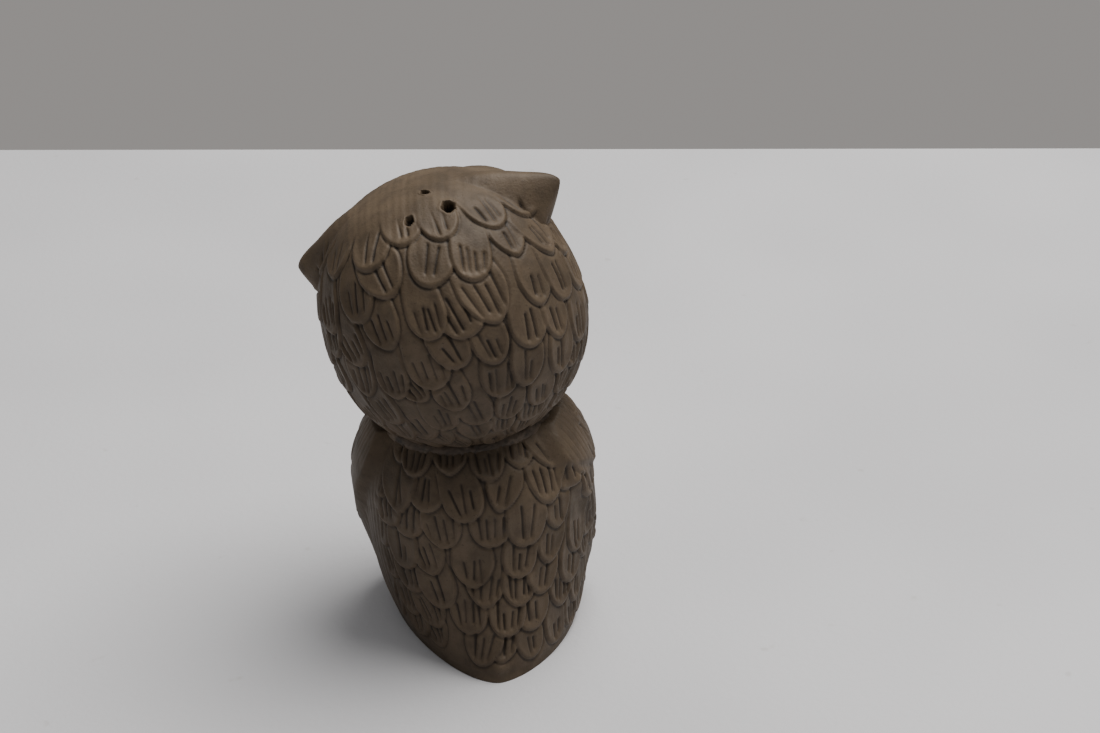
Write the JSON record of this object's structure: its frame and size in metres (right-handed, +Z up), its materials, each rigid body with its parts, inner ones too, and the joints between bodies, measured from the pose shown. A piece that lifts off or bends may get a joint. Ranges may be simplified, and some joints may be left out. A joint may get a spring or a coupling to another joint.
{
  "type": "owl shaker figurine",
  "caption": "Hollow ceramic owl with a tilted head, ear tufts, folded wings, pour holes in the crown and a pull-out stopper in the base.",
  "frame": {"origin": "middle of the flat foot rim, on the surface that the owl stands on", "axes": "+Z up, -Y the way the owl's body faces, +X its left wing"},
  "size_m": [0.0482, 0.048, 0.0798],
  "materials": {
    "bisque": "matte unglazed, brown wash in the engraving",
    "slip": "matte unglazed, smeared",
    "eye_glaze": "glossy spot glaze",
    "beak_bisque": "matte, darker wash",
    "stopper": "soft, slightly translucent"
  },
  "bodies": {
    "owl": {"body_shell": "bisque", "head_shell": "bisque", "neck_slip_joint": "slip", "left_ear_tuft": "bisque", "right_ear_tuft": "bisque", "left_wing": "bisque", "right_wing": "bisque", "left_eye": "eye_glaze", "right_eye": "eye_glaze", "beak": "beak_bisque", "left_foot": "bisque", "right_foot": "bisque"},
    "stopper": {"base_stopper": "stopper"}
  },
  "joints": [
    {"name": "stopper_pull", "type": "slide", "parent": "owl", "child": "stopper", "axis": [0, 0, -1], "range_m": [0, 0.025]}
  ]
}
